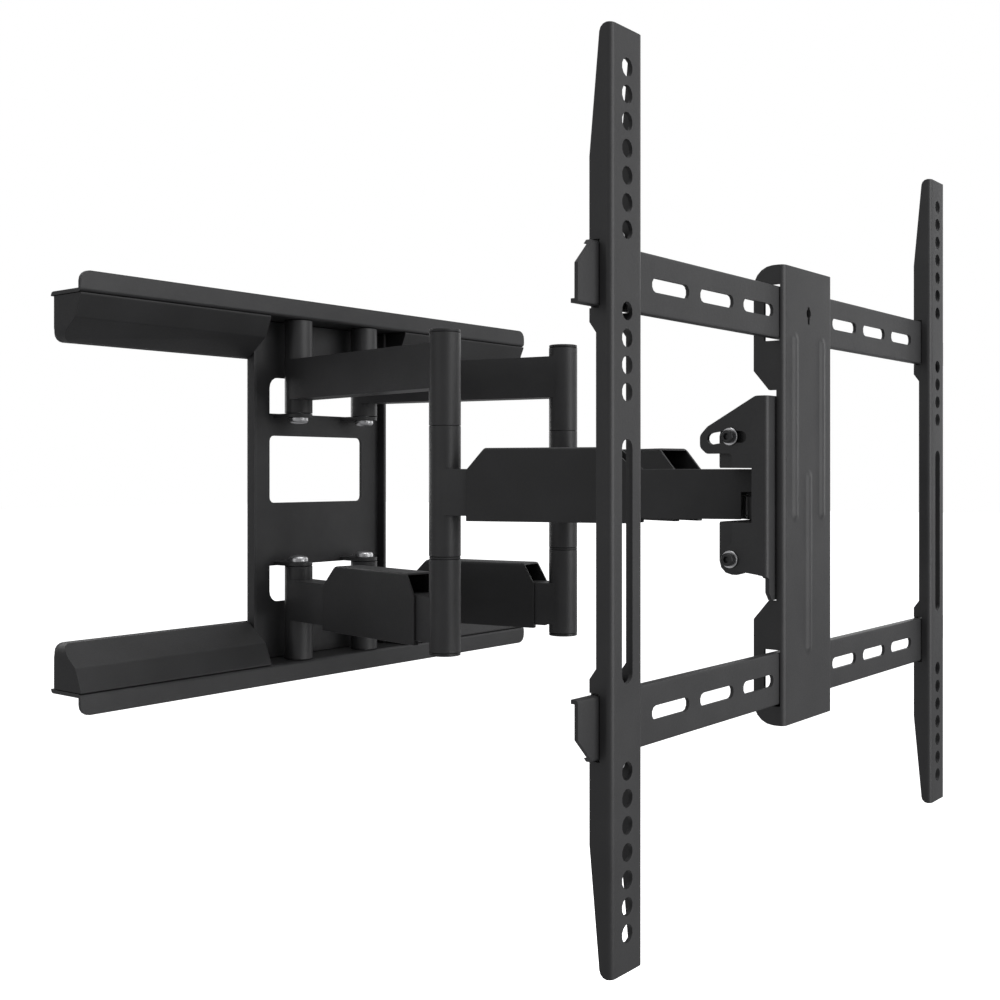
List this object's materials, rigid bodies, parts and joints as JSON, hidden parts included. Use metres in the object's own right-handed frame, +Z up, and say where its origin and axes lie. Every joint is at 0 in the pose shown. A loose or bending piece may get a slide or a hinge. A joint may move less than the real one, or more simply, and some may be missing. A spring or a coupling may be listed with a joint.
{
  "type": "full motion tv wall mount",
  "caption": "Folding double-arm TV wall mount: wall plate with rail covers, elbow arms with cable covers, swivel and tilt head, crossbars and slotted screen brackets.",
  "frame": {"origin": "centre of the wall plate on the wall plane, halfway between the two rails", "axes": "+X along the wall to the right as seen from the room, +Y into the wall, +Z up; the screen is on the -Y side"},
  "size_m": [0.461, 0.425, 0.436],
  "materials": {
    "powder_coated_steel": "fine satin black powder coat",
    "black_plastic": "matte moulded black",
    "zinc_hardware": "bright zinc plate",
    "black_hardware": "black oxide",
    "nylon": "black nylon"
  },
  "bodies": {
    "wall": {"rail_cover_bottom_left": "black_plastic", "rail_cover_bottom_right": "black_plastic", "rail_cover_top_left": "black_plastic", "rail_cover_top_right": "black_plastic", "shoulder_pin_lower_left": "zinc_hardware", "shoulder_pin_lower_right": "zinc_hardware", "shoulder_pin_upper_left": "zinc_hardware", "shoulder_pin_upper_right": "zinc_hardware", "wall_column": "powder_coated_steel", "wall_rail_bottom": "powder_coated_steel", "wall_rail_top": "powder_coated_steel"},
    "rear_arm_left": {"rear_arm_upper_left": "powder_coated_steel", "rear_arm_lower_left": "powder_coated_steel", "cable_cover_rear_left": "black_plastic", "elbow_pin_left": "black_hardware", "elbow_cap_left": "black_plastic", "elbow_washer_left": "nylon"},
    "front_arm_left": {"front_arm_left": "powder_coated_steel", "cable_cover_front_left": "black_plastic"},
    "rear_arm_right": {"rear_arm_upper_right": "powder_coated_steel", "rear_arm_lower_right": "powder_coated_steel", "cable_cover_rear_right": "black_plastic", "elbow_pin_right": "black_hardware", "elbow_cap_right": "black_plastic", "elbow_washer_right": "nylon"},
    "front_arm_right": {"front_arm_right": "powder_coated_steel", "cable_cover_front_right": "black_plastic"},
    "hub": {"hub_nut": "zinc_hardware", "hub_pin": "zinc_hardware", "hub_washer": "nylon"},
    "swivel": {"swivel_yoke": "powder_coated_steel", "tilt_lock_bolt_left": "black_hardware", "tilt_lock_bolt_right": "black_hardware", "tilt_lock_washer_left": "zinc_hardware", "tilt_lock_washer_right": "zinc_hardware", "tilt_pivot_bolt_left": "black_hardware", "tilt_pivot_bolt_right": "black_hardware", "tilt_pivot_washer_left": "zinc_hardware", "tilt_pivot_washer_right": "zinc_hardware"},
    "head": {"center_column": "powder_coated_steel", "column_bolt_lower_left": "zinc_hardware", "column_bolt_lower_right": "zinc_hardware", "column_bolt_upper_left": "zinc_hardware", "column_bolt_upper_right": "zinc_hardware", "crossbar_bottom": "powder_coated_steel", "crossbar_screw_bottom": "zinc_hardware", "crossbar_screw_top": "zinc_hardware", "crossbar_top": "powder_coated_steel", "tilt_bracket": "powder_coated_steel"},
    "bracket_left": {"bracket_clamp_lower_left": "powder_coated_steel", "bracket_clamp_upper_left": "powder_coated_steel", "clamp_screw_lower_left": "zinc_hardware", "clamp_screw_upper_left": "zinc_hardware", "tv_bracket_left": "powder_coated_steel"},
    "bracket_right": {"bracket_clamp_lower_right": "powder_coated_steel", "bracket_clamp_upper_right": "powder_coated_steel", "clamp_screw_lower_right": "zinc_hardware", "clamp_screw_upper_right": "zinc_hardware", "tv_bracket_right": "powder_coated_steel"}
  },
  "joints": [
    {"name": "arm_fold", "type": "hinge", "parent": "wall", "child": "rear_arm_left", "pos_m": [-0.035, -0.022, 0], "axis": [0, 0, -1], "range_deg": [-5, 42]},
    {"name": "shoulder_right", "type": "hinge", "parent": "wall", "child": "rear_arm_right", "pos_m": [0.035, -0.022, 0], "axis": [0, 0, 1], "range_deg": [-5, 42]},
    {"name": "elbow_left", "type": "hinge", "parent": "rear_arm_left", "child": "front_arm_left", "pos_m": [-0.066, -0.1963, 0], "axis": [0, 0, 1], "range_deg": [-9.7, 80.7]},
    {"name": "elbow_right", "type": "hinge", "parent": "rear_arm_right", "child": "front_arm_right", "pos_m": [0.066, -0.1963, 0], "axis": [0, 0, -1], "range_deg": [-9.7, 80.7]},
    {"name": "hub_align", "type": "hinge", "parent": "front_arm_left", "child": "hub", "pos_m": [0, -0.3931, 0], "axis": [0, 0, -1], "range_deg": [-4.7, 38.7]},
    {"name": "swivel", "type": "hinge", "parent": "hub", "child": "swivel", "pos_m": [0, -0.3931, 0], "axis": [0, 0, 1], "range_deg": [-30, 30]},
    {"name": "tilt", "type": "hinge", "parent": "swivel", "child": "head", "pos_m": [0, -0.3931, -0.0368], "axis": [1, 0, 0], "range_deg": [-5, 9]},
    {"name": "bracket_left_slide", "type": "slide", "parent": "head", "child": "bracket_left", "axis": [1, 0, 0], "range_m": [-0.01, 0.1]},
    {"name": "bracket_right_slide", "type": "slide", "parent": "head", "child": "bracket_right", "axis": [-1, 0, 0], "range_m": [-0.01, 0.1]}
  ],
  "couplings": [
    {"joint": "shoulder_right", "follows": "arm_fold", "ratio": 1},
    {"joint": "elbow_left", "follows": "arm_fold", "ratio": 1.92},
    {"joint": "elbow_right", "follows": "arm_fold", "ratio": 1.92},
    {"joint": "hub_align", "follows": "arm_fold", "ratio": 0.92}
  ]
}
